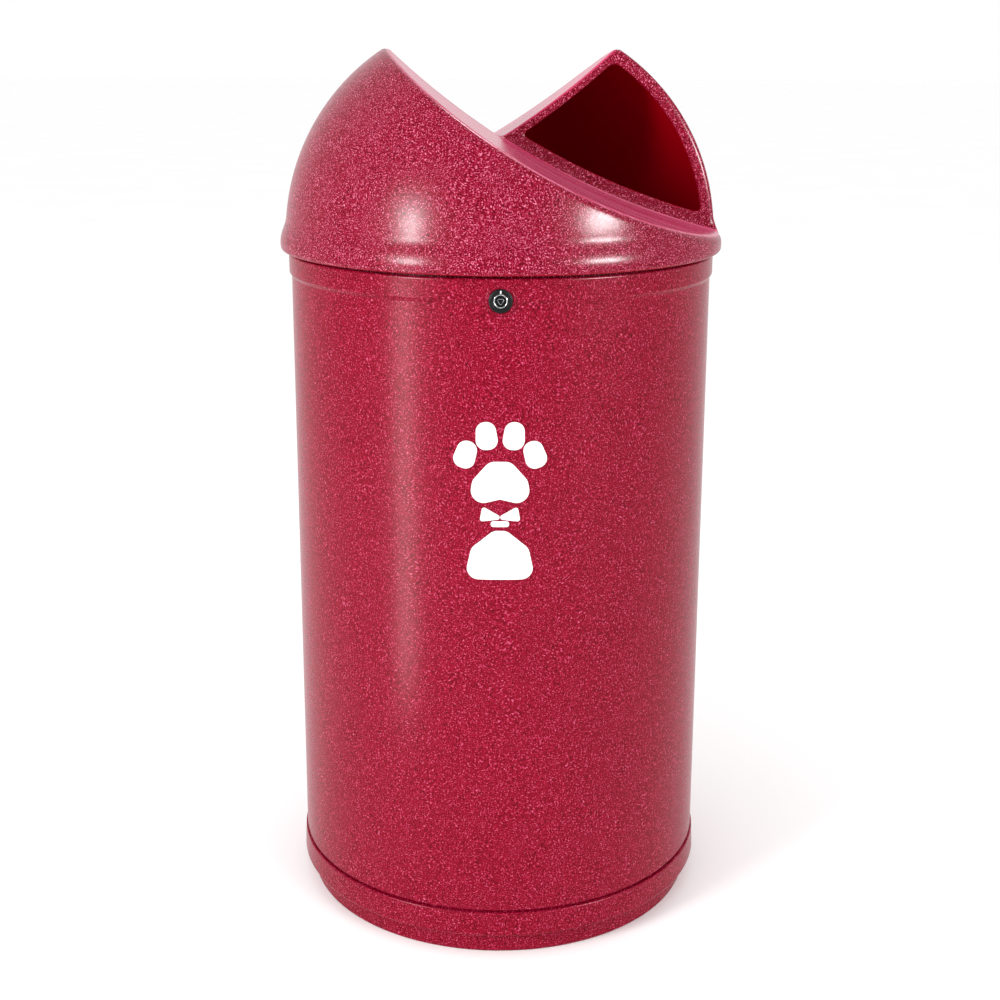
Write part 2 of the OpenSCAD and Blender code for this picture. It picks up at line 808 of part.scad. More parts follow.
// A film of the given outline, lying on the front of the body.
module film_on_body() {
    top = body_h - band_h - step_h;
    low = step_z + foot_step;
    intersection() {
        translate([0, 0, sign_z]) rotate([90, 0, 0]) linear_extrude(height = foot_r + 10) children();
        difference() {
            translate([0, 0, low]) cylinder(r1 = foot_r + film, r2 = body_r + film, h = top - low);
            translate([0, 0, low]) cylinder(r1 = foot_r, r2 = body_r, h = top - low);
        }
    }
}

// Outlines grown by a radius, so that their corners are round.
module rounded(r) {
    offset(r = r, $fn = 40) children();
}

module toe(x, y, lean) {
    translate([x, y]) rotate(lean) rounded(11.5) polygon([[-1.5, 0], [1.5, 0], [0.5, 11], [-0.5, 11]]);
}

module paw_outline() {
    for (side = [-1, 1]) {
        toe(side * 16, 76, side * -5);
        toe(side * 43, 53, side * 18);
    }
    rounded(15) polygon([[-20, 14], [0, 19], [20, 14], [19, 20], [6, 35], [-6, 35], [-19, 20]]);
}

module bag_outline() {
    rounded(14) polygon([[-26, -84], [26, -84], [22, -66], [3, -50], [-3, -50], [-22, -66]]);
    rounded(3) {
        polygon([[-8, -28], [8, -28], [8, -27], [-8, -27]]);
        for (side = [-1, 1]) polygon([[side * 3.5, -19], [side * 21, -21], [side * 19, -10]]);
    }
}

module sign_paw() {
    color("white") film_on_body() paw_outline();
}

module sign_bag() {
    color("white") film_on_body() bag_outline();
}

body_shell();
base_moulding();
base_inserts();
base_bolts();
base_washers();
hood_shell();
hinge_body_leaf();
hinge_hood_leaf();
hinge_pin();
hinge_body_bolts();
hinge_body_backing_plate();
hinge_body_nuts();
hinge_hood_bolts();
hinge_hood_backing_plate();
hinge_hood_nuts();
lock_housing();
lock_nut();
lock_rotor();
lock_cam();
lock_cam_washer();
lock_cam_bolt();
striker_bracket();
striker_screws();
striker_nuts();
liner_wall();
liner_base();
liner_rivets();
handle_bracket_right();
handle_bracket_left();
handle_right();
handle_left();
sign_paw();
sign_bag();
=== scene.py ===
"""Looks of the litter bin: a fleck body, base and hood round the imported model's hardware and liner."""

import math

import bmesh
import bpy
import numpy as np
from mathutils import Matrix, Vector


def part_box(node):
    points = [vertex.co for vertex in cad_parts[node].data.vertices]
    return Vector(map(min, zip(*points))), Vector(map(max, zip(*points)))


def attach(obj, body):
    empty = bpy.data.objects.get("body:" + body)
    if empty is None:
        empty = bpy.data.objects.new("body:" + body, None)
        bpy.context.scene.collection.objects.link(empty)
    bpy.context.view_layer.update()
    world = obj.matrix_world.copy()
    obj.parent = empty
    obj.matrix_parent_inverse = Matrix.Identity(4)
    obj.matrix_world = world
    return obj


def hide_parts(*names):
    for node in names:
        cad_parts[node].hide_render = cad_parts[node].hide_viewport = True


MM = 0.001

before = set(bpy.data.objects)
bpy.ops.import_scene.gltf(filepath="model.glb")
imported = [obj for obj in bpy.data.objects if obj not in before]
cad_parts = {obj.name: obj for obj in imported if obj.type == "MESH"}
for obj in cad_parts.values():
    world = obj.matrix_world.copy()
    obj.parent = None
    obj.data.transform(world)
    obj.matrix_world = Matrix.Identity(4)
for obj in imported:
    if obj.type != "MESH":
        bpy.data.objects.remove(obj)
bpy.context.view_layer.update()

# ---- Sizes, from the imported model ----

BODY_LOW, BODY_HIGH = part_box("body_shell")
BASE_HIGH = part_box("base_moulding")[1]
HOOD_LOW, HOOD_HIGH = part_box("hood_shell")
LEAF_LOW, LEAF_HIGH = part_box("hinge_hood_leaf")
HOUSING_LOW, HOUSING_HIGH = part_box("lock_housing")
ROTOR_LOW, ROTOR_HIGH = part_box("lock_rotor")
CAM_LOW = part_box("lock_cam")[0]
STRIKER_LOW, STRIKER_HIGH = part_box("striker_bracket")
LINER_LOW, LINER_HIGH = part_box("liner_wall")
RIVETS_LOW, RIVETS_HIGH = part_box("liner_rivets")

# Body
BODY_H = BODY_HIGH.z
FOOT_Z = BODY_LOW.z
FOOT_R = BODY_HIGH.x
WALL = 6 * MM
BAND_H = 25 * MM
BAND_STEP = 5 * MM
BAND_OUT = 3 * MM
DRAFT = 4.5 * MM
BODY_R = FOOT_R - DRAFT
BAND_R = BODY_R + BAND_OUT
FOOT_FLANGE_R = FOOT_R - WALL - 36 * MM
FOOT_STEP = 3 * MM

# Base
SKIRT_R = BASE_HIGH.x
SKIRT_FLARE = 1.5 * MM
PLINTH_H = FOOT_Z - WALL
PLINTH_R = FOOT_R - 9.5 * MM
FLOOR_T = 10 * MM
SKIRT_GAP = 0.5 * MM
ANCHOR_PCD = 380 * MM
ANCHOR_R = 6.5 * MM
DRAIN_R = 8 * MM
RIB_H = 28 * MM
RIB_W = 12 * MM
BOSS_R = 12 * MM
BOLTS_N = 6
BOLT_CIRCLE_R = FOOT_R - WALL - 22 * MM

# Hood
HOOD_WALL = 5 * MM
# The dome's wall is thickened inwards, so that one cell of its full net never holds both of its faces.
DOME_WALL = 7 * MM
JOINT_GAP = 0.3 * MM
HOOD_Z = BODY_H + JOINT_GAP
LIP_R = HOOD_HIGH.x
LIP_H = 26 * MM
DOME_R = BAND_R + 3.3 * MM
DOME_Z = BODY_H + 16 * MM
PEAK_X = 147 * MM
VALLEY_Z = BODY_H + 143 * MM
TOE_Z = BODY_H + 25 * MM
FRAME_LOW = 17 * MM
FRAME_HIGH = 11 * MM
FRAME_SIDE = 17 * MM
MOUTH_ROUND = 8 * MM
SEAM_H = 3 * MM
SPIGOT_R = BAND_R - WALL - 4 * MM
SPIGOT_Z = HOOD_LOW.z
PAD_X = LEAF_HIGH.x + 4 * MM
PAD_Y = LEAF_LOW.y
PAD_IN_Y = SPIGOT_R - HOOD_WALL + 1 * MM
PAD_TOP = LEAF_HIGH.z + 4 * MM
# Roundings of the hood's edges
RAMP_EDGE = 7 * MM
RAMP_FOOT = 8 * MM
ROOM_EDGE = 3 * MM
PAD_FILLET = 4 * MM
LIP_TOP_EDGE = 14 * MM
LIP_FILLET = 20 * MM
LIP_UNDER_EDGE = 6 * MM
SEAM_EDGE = 1 * MM
MOUTH_EDGE = 2.5 * MM
# The hood's net
NET_STEP = 3.7 * MM
NORMAL_REACH = 1.5 * MM
NET_ROUNDS = 4
# The ramps' paler colour, painted reflection over their own streaks, is at its full share this near them, and
# gone this far off.
RAMP_FULL = 0.8 * MM
RAMP_GONE = 2.6 * MM
RAMP_SHARE = 0.75
# The plain deep red inside the hood is painted shade for its hollow; it starts this deep in the wall, and is
# full after the fade.
INSIDE_SHADE_DEPTH = 1.5 * MM
INSIDE_SHADE_FADE = 2.5 * MM
METAL_BUMP = 0.01 * MM

# Lock
LOCK_Z = (HOUSING_LOW.z + HOUSING_HIGH.z) / 2
LOCK_FACE_Y = HOUSING_LOW.y
AT_LOCK = Matrix.Translation((0, 0, LOCK_Z)) @ Matrix.Rotation(math.radians(90), 4, "X")
LOCK_HEAD_R = (HOUSING_HIGH.x - HOUSING_LOW.x) / 2
LOCK_HEAD_T = 2.8 * MM
LOCK_BARREL_R = 11 * MM
LOCK_BOSS_R = LOCK_BARREL_R + 7 * MM
LOCK_BOSS_IN_Y = -(SPIGOT_R - 2 * MM)

# Liner
LINER_TOP = LINER_HIGH.z
LINER_Z = LINER_LOW.z
RIM_BEAD_R = 3.2 * MM
SHEET = 1.2 * MM
LINER_IN_R = LINER_HIGH.x - 2 * RIM_BEAD_R
SWAGE_R = 4 * MM
SWAGE_SHARE = (0.3, 0.62)
BRACKET_T = 1.5 * MM
RIVET_HEAD_R = 4.2 * MM
RIVET_HEAD_H = 1.4 * MM
RIVET_TAIL_R = 0.7 * RIVET_HEAD_R
RIVET_Y = 50.6 * MM
RIVET_Z = (RIVETS_LOW.z + RIVETS_HIGH.z) / 2
RIVET_RISE = (RIVETS_HIGH.z - RIVETS_LOW.z) / 2 - RIVET_HEAD_R
WELD_R = 2.8 * MM
WELD_H = 0.4 * MM
BASE_WELDS = 28
BASE_WELD_UP = 9 * MM
SEAM_WELDS = 11
SEAM_END = 30 * MM
SEAM_ANGLE = math.pi / 3

# Camera: how far it stands in front of the axis and over the body's rim, its turns in degrees, its lens in mm
CAMERA_AWAY = 7.303 * BAND_R
CAMERA_OVER = 0.91 * BAND_R
CAMERA_DOWN = 16.46
CAMERA_LEAN = 0.2
CAMERA_LENS = 54.94
FLOOR_SIZE = 60


def circle_centre(a, b, c):
    """Centre of the circle through three points of the XZ plane."""
    (ax, az), (bx, bz), (cx, cz) = a, b, c
    d = 2 * (ax * (bz - cz) + bx * (cz - az) + cx * (az - bz))
    qa, qb, qc = ax * ax + az * az, bx * bx + bz * bz, cx * cx + cz * cz
    return (
        (qa * (bz - cz) + qb * (cz - az) + qc * (az - bz)) / d,
        (qa * (cx - bx) + qb * (ax - cx) + qc * (bx - ax)) / d,
    )


# Each ramp is an arc through its peak, the crossing of the ramps, and its foot.
PEAK_Z = DOME_Z + math.sqrt(DOME_R**2 - PEAK_X**2)
RAMP_CX, RAMP_CZ = circle_centre((-PEAK_X, PEAK_Z), (0, VALLEY_Z), (DOME_R, TOE_Z))
RAMP_R = math.hypot(RAMP_CX, RAMP_CZ - VALLEY_Z)

# ---- Materials ----


def srgb(code):
    """A linear colour from an sRGB hex code."""
    parts = [int(code[i : i + 2], 16) / 255 for i in (1, 3, 5)]
    linear = [p / 12.92 if p <= 0.04045 else ((p + 0.055) / 1.055) ** 2.4 for p in parts]
    return (*linear, 1.0)


def add(tree, kind, links=None, **settings):
    """Adds a node. Links give each input a socket or a value; settings are the node's own."""
    made = tree.nodes.new(kind)
    for key, value in settings.items():
        setattr(made, key, value)
    for key, value in (links or {}).items():
        if isinstance(value, bpy.types.NodeSocket):
            tree.links.new(value, made.inputs[key])
        else:
            made.inputs[key].default_value = value
    return made


def start_material(name):
    """A new material, its tree, its shader and the object's own coordinates."""
    made = bpy.data.materials.new(name)
    made.use_nodes = True
    tree = made.node_tree
    shader = tree.nodes["Principled BSDF"]
    place = add(tree, "ShaderNodeTexCoord").outputs["Object"]
    return made, tree, shader, place


def ramp(tree, value, stops):
    """A colour ramp from (position, hex code) stops."""
    made = add(tree, "ShaderNodeValToRGB", {"Fac": value})
    elements = made.color_ramp.elements
    while len(elements) < len(stops):
        elements.new(0.5)
    for element, (position, code) in zip(elements, stops):
        element.position = position
        element.color = srgb(code)
    return made.outputs["Color"]


def mix(tree, share, first, second):
    """A colour or value between two others."""
    return add(tree, "ShaderNodeMix", {0: share, 6: first, 7: second}, data_type="RGBA").outputs[2]


def spread(tree, value, low, high):
    """Maps a 0 to 1 value to another span."""
    made = add(tree, "ShaderNodeMapRange", {"Value": value, "To Min": low, "To Max": high})
    return made.outputs["Result"]


def noise(tree, place, size, detail=2.0):
    """Noise whose waves are about one size across, in metres."""
    inputs = {"Vector": place, "Scale": 1 / size, "Detail": detail}
    return add(tree, "ShaderNodeTexNoise", inputs).outputs["Fac"]


def warp(tree, place, size, reach):
    """Coordinates pushed about by slow noise, so that no grid shows in a fine pattern on a curved surface."""
    slow = add(tree, "ShaderNodeTexNoise", {"Vector": place, "Scale": 1 / size, "Detail": 0.0})
    push = add(tree, "ShaderNodeVectorMath", {0: slow.outputs["Color"], "Scale": reach}, operation="SCALE")
    return add(tree, "ShaderNodeVectorMath", {0: place, 1: push.outputs["Vector"]}).outputs["Vector"]


def bump(tree, height, distance, normal=None):
    """A bump of the given depth, in metres."""
    inputs = {"Height": height, "Distance": distance, "Strength": 1.0}
    if normal is not None:
        inputs["Normal"] = normal
    return add(tree, "ShaderNodeBump", inputs).outputs["Normal"]


def near_ramp(tree, place):
    """How far a point counts as on the hood's two ramps, which are half a turn apart. It stays under one,
    so that the flecks still show there faintly."""
    parts = add(tree, "ShaderNodeSeparateXYZ", {"Vector": place}).outputs
    side = add(tree, "ShaderNodeMath", {0: parts["Y"]}, operation="SIGN").outputs["Value"]
    x = add(tree, "ShaderNodeMath", {0: parts["X"], 1: side}, operation="MULTIPLY").outputs["Value"]
    flat = add(tree, "ShaderNodeCombineXYZ", {"X": x, "Z": parts["Z"]}).outputs["Vector"]
    centre = (-RAMP_CX, 0, RAMP_CZ)
    reach = add(tree, "ShaderNodeVectorMath", {0: flat, 1: centre}, operation="DISTANCE").outputs["Value"]
    off = add(tree, "ShaderNodeMath", {0: reach, 1: RAMP_R}, operation="SUBTRACT").outputs["Value"]
    away = add(tree, "ShaderNodeMath", {0: off}, operation="ABSOLUTE").outputs["Value"]
    near = {"From Min": RAMP_FULL, "To Min": RAMP_SHARE}
    far = {"From Max": RAMP_GONE, "To Max": 0.0}
    limits = {"Value": away, **near, **far}
    return add(tree, "ShaderNodeMapRange", limits, interpolation_type="SMOOTHSTEP").outputs["Result"]


def fleck_polyethylene(name, grain, stops):
    """Rotomoulded granite-fleck polyethylene. The powder is dry-blended, so pale and dark grains show in a
    satin crimson skin, with the faint orange peel that the mould's wall leaves. The inside of the hood is a
    plain deep red of painted shade. The ramps, which the mould's polished insert forms, are glossier and
    drawn lengthwise, and their paler pink is painted reflection."""
    made, tree, shader, place = start_material(name)
    bent = warp(tree, place, 45 * MM, 24 * MM)
    speckle = noise(tree, bent, grain, 3.0)
    flecks = ramp(tree, speckle, stops)

    drawn = add(tree, "ShaderNodeMapping", {"Vector": place, "Scale": (0.03, 1, 0.03)}).outputs["Vector"]
    streak = noise(tree, drawn, 5 * MM, 2.0)
    # The ramps' paler pink is painted reflection; the lengthwise streaks in it are the ramps' own.
    streaks = ramp(tree, streak, [(0.3, "#C02850"), (0.5, "#D24672"), (0.7, "#E484A0")])
    on_ramp = near_ramp(tree, place)
    inside = add(tree, "ShaderNodeAttribute", attribute_name="inside").outputs["Fac"]
    outside = mix(tree, on_ramp, flecks, streaks)
    cloud = noise(tree, place, 160 * MM, 3.0)
    tone = add(tree, "ShaderNodeHueSaturation", {"Color": outside, "Value": spread(tree, cloud, 0.95, 1.05)})
    # The plain deep red on the inside of the hood is painted shade.
    colour = mix(tree, inside, tone.outputs["Color"], srgb("#AC0014"))
    tree.links.new(colour, shader.inputs["Base Color"])

    satin = spread(tree, noise(tree, place, 6 * MM, 4.0), 0.2, 0.3)
    gloss = spread(tree, streak, 0.1, 0.3)
    rough = mix(tree, on_ramp, satin, gloss)
    tree.links.new(rough, shader.inputs["Roughness"])
    peel = bump(tree, noise(tree, place, 9 * MM, 1.0), 0.1 * MM)
    grit = bump(tree, mix(tree, on_ramp, speckle, (0.5, 0.5, 0.5, 1)), 0.04 * MM, peel)
    tree.links.new(grit, shader.inputs["Normal"])
    shader.inputs["IOR"].default_value = 1.51
    shader.inputs["Specular IOR Level"].default_value = 0.1
    return made


def black_nylon():
    """Injection-moulded glass-filled nylon: near black, satin, with a fine spark-eroded grain."""
    made, tree, shader, place = start_material("moulded_black_nylon")
    shade = ramp(tree, noise(tree, place, 4 * MM), [(0.3, "#030404"), (0.8, "#0A0B0B")])
    tree.links.new(shade, shader.inputs["Base Color"])
    tree.links.new(spread(tree, noise(tree, place, 1 * MM), 0.3, 0.5), shader.inputs["Roughness"])
    tree.links.new(bump(tree, noise(tree, place, 0.4 * MM), 0.02 * MM), shader.inputs["Normal"])
    shader.inputs["Specular IOR Level"].default_value = 0.15
    return made


def metal(name, dark, light, size, roughness, stretch=(1, 1, 1)):
    """A metal with fine streaks or mottles between two colours, and the same pattern in its roughness."""
    made, tree, shader, place = start_material(name)
    long = add(tree, "ShaderNodeMapping", {"Vector": place, "Scale": stretch}).outputs["Vector"]
    streak = noise(tree, long, size, 4.0)
    tree.links.new(ramp(tree, streak, [(0.3, dark), (0.7, light)]), shader.inputs["Base Color"])
    tree.links.new(spread(tree, streak, *roughness), shader.inputs["Roughness"])
    tree.links.new(bump(tree, streak, METAL_BUMP), shader.inputs["Normal"])
    shader.inputs["Metallic"].default_value = 1.0
    return made


def galvanised_sheet():
    """Hot-dip galvanised mild steel: zinc crystals, the spangle, each with its own grey and gloss."""
    made, tree, shader, place = start_material("hot_dip_galvanised_sheet")
    slow = add(tree, "ShaderNodeTexNoise", {"Vector": place, "Scale": 1 / (9 * MM)})
    blend = {0: 0.012, 4: place, 5: slow.outputs["Color"]}
    bent = add(tree, "ShaderNodeMix", blend, data_type="VECTOR")
    crystal = add(tree, "ShaderNodeTexVoronoi", {"Vector": bent.outputs[1], "Scale": 1 / (14 * MM)})
    pick = add(tree, "ShaderNodeSeparateColor", {"Color": crystal.outputs["Color"]})
    shade = ramp(tree, pick.outputs["Red"], [(0.0, "#8E9598"), (0.5, "#A8AEB0"), (1.0, "#C3C8C9")])
    tree.links.new(shade, shader.inputs["Base Color"])
    tree.links.new(spread(tree, pick.outputs["Green"], 0.3, 0.55), shader.inputs["Roughness"])
    tree.links.new(bump(tree, noise(tree, place, 30 * MM), 0.3 * MM), shader.inputs["Normal"])
    shader.inputs["Metallic"].default_value = 1.0
    return made


def white_film():
    """Cut self-adhesive vinyl: bright white, calendered, with a slight orange peel from the wall under it."""
    made, tree, shader, place = start_material("cut_white_vinyl_film")
    shade = ramp(tree, noise(tree, place, 40 * MM), [(0.3, "#F3F6F8"), (0.7, "#FBFCFD")])
    tree.links.new(shade, shader.inputs["Base Color"])
    tree.links.new(spread(tree, noise(tree, place, 5 * MM), 0.28, 0.38), shader.inputs["Roughness"])
    tree.links.new(bump(tree, noise(tree, place, 7 * MM), 0.05 * MM), shader.inputs["Normal"])
    return made


def pale_floor():
    """A matt studio floor."""
    made, tree, shader, place = start_material("matt_studio_floor")
    shade = ramp(tree, noise(tree, place, 0.6), [(0.3, "#FDFDFD"), (0.7, "#FFFFFF")])
    tree.links.new(shade, shader.inputs["Base Color"])
    shader.inputs["Roughness"].default_value = 0.9
    return made


POLYETHYLENE = fleck_polyethylene(
    "rotomoulded_fleck_polyethylene",
    1.8 * MM,
    [(0.3, "#40000C"), (0.43, "#700018"), (0.52, "#840020"), (0.6, "#961034"), (0.72, "#C85C7E")],
)
# The hood's powder has finer grains in it, paler and darker than the body's.
HOOD_POLYETHYLENE = fleck_polyethylene(
    "rotomoulded_fine_fleck_polyethylene",
    1.5 * MM,
    [(0.3, "#260006"), (0.42, "#680016"), (0.5, "#840022"), (0.58, "#96183C"), (0.69, "#DC84A0")],
)
NYLON = black_nylon()
FILM = white_film()
GALVANISED = galvanised_sheet()
# Rolled stainless sheet with a brushed grain along X, about 0.6 mm across.
STAINLESS = metal("brushed_stainless_sheet", "#A6A7A8", "#C4C5C5", 0.6 * MM, (0.22, 0.4), (0.04, 1, 1))
# Cold-headed stainless, bright with a fine mottle.
STAINLESS_BOLT = metal("cold_headed_stainless", "#B4B4B3", "#CFCFCE", 1.5 * MM, (0.18, 0.32))
# Zinc plate with a clear passivate, which gives a faint blue cast.
ZINC = metal("zinc_plated_steel", "#9FA6AB", "#C2C7CA", 3 * MM, (0.25, 0.42))
# Brass, warm yellow with a fine even mottle.
BRASS = metal("turned_brass", "#A98642", "#C6A55C", 1 * MM, (0.2, 0.35))
# Bare aluminium, pale and bright.
ALUMINIUM = metal("bright_aluminium", "#C2C3C4", "#DADBDB", 1 * MM, (0.2, 0.35))
# Zinc die casting under black chrome: dark, with a sheen on its turned faces.
BLACK_CHROME = metal("black_chromed_die_casting", "#161718", "#242526", 1 * MM, (0.2, 0.3))
# The core's raised edges, rubbed bright by the key.
WORN_CHROME = metal("rubbed_chrome_edge", "#5C5D5E", "#D6D7D8", 3 * MM, (0.08, 0.2))

CAD_FINISH = {
    "base_inserts": BRASS,
    "base_bolts": ZINC,
    "base_washers": ZINC,
    "hinge_body_leaf": STAINLESS,
    "hinge_hood_leaf": STAINLESS,
    "hinge_pin": STAINLESS_BOLT,
    "hinge_body_bolts": STAINLESS_BOLT,
    "hinge_hood_bolts": STAINLESS_BOLT,
    "hinge_body_nuts": STAINLESS_BOLT,
    "hinge_hood_nuts": STAINLESS_BOLT,
    "hinge_body_backing_plate": GALVANISED,
    "hinge_hood_backing_plate": GALVANISED,
    "lock_nut": ZINC,
    "lock_cam": ZINC,
    "lock_cam_washer": ZINC,
    "lock_cam_bolt": ZINC,
    "striker_bracket": GALVANISED,
    "striker_screws": STAINLESS_BOLT,
    "striker_nuts": STAINLESS_BOLT,
    "liner_base": GALVANISED,
    "handle_bracket_right": ZINC,
    "handle_bracket_left": ZINC,
    "handle_right": ZINC,
    "handle_left": ZINC,
    "sign_paw": FILM,
    "sign_bag": FILM,
}


def finish_cad_nodes():
    """Gives the nodes that stay as they are their material."""
    for name, material in CAD_FINISH.items():
        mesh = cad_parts[name].data
        mesh.materials.clear()
        mesh.materials.append(material)


# ---- Shapes ----


def make_object(name, mesh, material):
    """Links a mesh to the scene with one material."""
    made = bpy.data.objects.new(name, mesh)
    bpy.context.scene.collection.objects.link(made)
    mesh.materials.clear()
    mesh.materials.append(material)
    return made


def round_corners(corners, steps=5):
    """A closed outline from (x, y, radius) corners, with arcs at the corners and a point beside each arc."""
    points = []
    count = len(corners)
    for i, (x, y, radius) in enumerate(corners):
        here = Vector((x, y))
        back = Vector(corners[i - 1][:2]) - here
        ahead = Vector(corners[(i + 1) % count][:2]) - here
        if radius <= 0:
            points.append(here)
            continue
        half = back.angle(ahead) / 2
        reach = min(radius / math.tan(half), 0.45 * back.length, 0.45 * ahead.length)
        radius = reach * math.tan(half)
        centre = here + (back.normalized() + ahead.normalized()).normalized() * radius / math.sin(half)
        first = here + back.normalized() * reach - centre
        turn = first.angle_signed(here + ahead.normalized() * reach - centre)
        points.append(here + back.normalized() * reach * 1.15)
        for step in range(steps + 1):
            angle = -turn * step / steps
            cos, sin = math.cos(angle), math.sin(angle)
            points.append(centre + Vector((first.x * cos - first.y * sin, first.x * sin + first.y * cos)))
        points.append(here + ahead.normalized() * reach * 1.15)
    return points


def lathe(name, corners, material, segments=192, place=None):
    """Turns a closed outline of (radius, height, corner radius) round the Z axis."""
    outline = round_corners(corners)
    build = bmesh.new()
    rings = []
    for turn in range(segments):
        angle = 2 * math.pi * turn / segments
        cos, sin = math.cos(angle), math.sin(angle)
        rings.append([build.verts.new((p.x * cos, p.x * sin, p.y)) for p in outline])
    for turn, ring in enumerate(rings):
        other = rings[(turn + 1) % segments]
        for i in range(len(outline)):
            j = (i + 1) % len(outline)
            build.faces.new((ring[i], other[i], other[j], ring[j]))
    bmesh.ops.remove_doubles(build, verts=build.verts, dist=1e-7)
    bmesh.ops.recalc_face_normals(build, faces=build.faces)
    for face in build.faces:
        face.smooth = True
    mesh = bpy.data.meshes.new(name)
    build.to_mesh(mesh)
    build.free()
    if place is not None:
        mesh.transform(place)
    return make_object(name, mesh, material)


def block(name, low, high, material, round_by=0.0):
    """A block between two corners, with its edges rounded."""
    build = bmesh.new()
    size = Vector(high) - Vector(low)
    centre = (Vector(high) + Vector(low)) / 2
    bmesh.ops.create_cube(build, size=1, matrix=Matrix.Translation(centre) @ Matrix.Diagonal((*size, 1)))
    if round_by > 0:
        bmesh.ops.bevel(build, geom=build.edges[:], offset=round_by, segments=3, profile=0.5, affect="EDGES")
    bmesh.ops.recalc_face_normals(build, faces=build.faces)
    mesh = bpy.data.meshes.new(name)
    build.to_mesh(mesh)
    build.free()
    return make_object(name, mesh, material)


def rod(name, radius, start, end, material):
    """A plain cylinder between two points, for cutting and joining."""
    build = bmesh.new()
    along = Vector(end) - Vector(start)
    turn = along.to_track_quat("Z", "Y").to_matrix().to_4x4()
    middle = (Vector(start) + Vector(end)) / 2
    bmesh.ops.create_cone(
        build,
        cap_ends=True,
        segments=48,
        radius1=radius,
        radius2=radius,
        depth=along.length,
        matrix=Matrix.Translation(middle) @ turn,
    )
    mesh = bpy.data.meshes.new(name)
    build.to_mesh(mesh)
    build.free()
    return make_object(name, mesh, material)


def apply_modifiers(obj):
    """Turns an object's evaluated shape into its own mesh."""
    graph = bpy.context.evaluated_depsgraph_get()
    mesh = bpy.data.meshes.new_from_object(obj.evaluated_get(graph))
    obj.modifiers.clear()
    obj.data = mesh


def combine(target, tools, operation):
    """Joins the tools to the target or cuts them from it, and deletes them."""
    for tool in tools:
        change = target.modifiers.new("change", "BOOLEAN")
        change.operation = operation
        change.solver = "EXACT"
        change.object = tool
    apply_modifiers(target)
    for tool in tools:
        bpy.data.objects.remove(tool)


def smooth_by_angle(obj, degrees=32):
    """Smooth shading that breaks at sharp edges."""
    obj.data.shade_smooth()
    obj.data.set_sharp_from_angle(angle=math.radians(degrees))


def heads_tree():
    """Geometry Nodes: a domed head on every vertex, standing along the vertex's "facing"."""
    tree = bpy.data.node_groups.new("domed_heads", "GeometryNodeTree")
    kinds = {
        "Geometry": "NodeSocketGeometry",
        "Radius": "NodeSocketFloat",
        "Height": "NodeSocketFloat",
        "Segments": "NodeSocketInt",
        "Material": "NodeSocketMaterial",
    }
    for name, kind in kinds.items():
        tree.interface.new_socket(name, in_out="INPUT", socket_type=kind)
    tree.interface.new_socket("Geometry", in_out="OUTPUT", socket_type="NodeSocketGeometry")
    given = tree.nodes.new("NodeGroupInput").outputs
    shape = {"Segments": given["Segments"], "Rings": given["Segments"], "Radius": 1.0}
    ball = add(tree, "GeometryNodeMeshUVSphere", shape).outputs["Mesh"]
    sizes = {"X": given["Radius"], "Y": given["Radius"], "Z": given["Height"]}
    size = add(tree, "ShaderNodeCombineXYZ", sizes)
    head = add(tree, "GeometryNodeTransform", {"Geometry": ball, "Scale": size.outputs["Vector"]})
    facing = add(tree, "GeometryNodeInputNamedAttribute", {"Name": "facing"}, data_type="FLOAT_VECTOR")
    turn = add(tree, "FunctionNodeAlignRotationToVector", {"Vector": facing.outputs["Attribute"]}, axis="Z")
    parts = {
        "Points": given["Geometry"],
        "Instance": head.outputs["Geometry"],
        "Rotation": turn.outputs["Rotation"],
    }
    heads = add(tree, "GeometryNodeInstanceOnPoints", parts).outputs["Instances"]
    solid = add(tree, "GeometryNodeRealizeInstances", {"Geometry": heads}).outputs["Geometry"]
    smooth = add(tree, "GeometryNodeSetShadeSmooth", {"Geometry": solid}).outputs["Geometry"]
    coated = add(tree, "GeometryNodeSetMaterial", {"Geometry": smooth, "Material": given["Material"]})
    add(tree, "NodeGroupOutput", {"Geometry": coated.outputs["Geometry"]})
    return tree


HEADS = heads_tree()


def domed_heads(name, spots, radius, height, material):
    """Domed heads, one at each spot's place and standing its way."""
    mesh = bpy.data.meshes.new(name)
    mesh.from_pydata([place for place, way in spots], [], [])
    facing = mesh.attributes.new("facing", "FLOAT_VECTOR", "POINT")
    facing.data.foreach_set("vector", [part for place, way in spots for part in way])
    made = make_object(name, mesh, material)
    heads = made.modifiers.new("heads", "NODES")
    heads.node_group = HEADS
    sizes = {"Radius": radius, "Height": height, "Segments": 16, "Material": material}
    for item in HEADS.interface.items_tree:
        if item.name in sizes:
            heads[item.identifier] = sizes[item.name]
    apply_modifiers(made)
    return made


def on_drum(radius, angle, z, way=1):
    """A spot on a drum about the bin's axis that faces out, or in where its way is -1."""
    across, along = math.cos(angle), math.sin(angle)
    return (radius * across, radius * along, z), (way * across, way * along, 0)


# ---- A surface from a distance formula ----


def rounded_max(a, b, radius):
    """The larger of two distances, with the edge where they meet rounded outwards."""
    reach = np.sqrt(np.maximum(a + radius, 0) ** 2 + np.maximum(b + radius, 0) ** 2)
    return np.minimum(-radius, np.maximum(a, b)) + reach


def rounded_min(a, b, radius):
    """The smaller of two distances, with a fillet where they meet."""
    return -rounded_max(-a, -b, radius)


def slope_of(distance, points, step=0.1 * MM):
    """The distance formula's gradient at each point."""
    slopes = np.empty_like(points)
    for axis in range(3):
        shift = np.zeros(3)
        shift[axis] = step
        slopes[:, axis] = (distance(points + shift) - distance(points - shift)) / (2 * step)
    return slopes


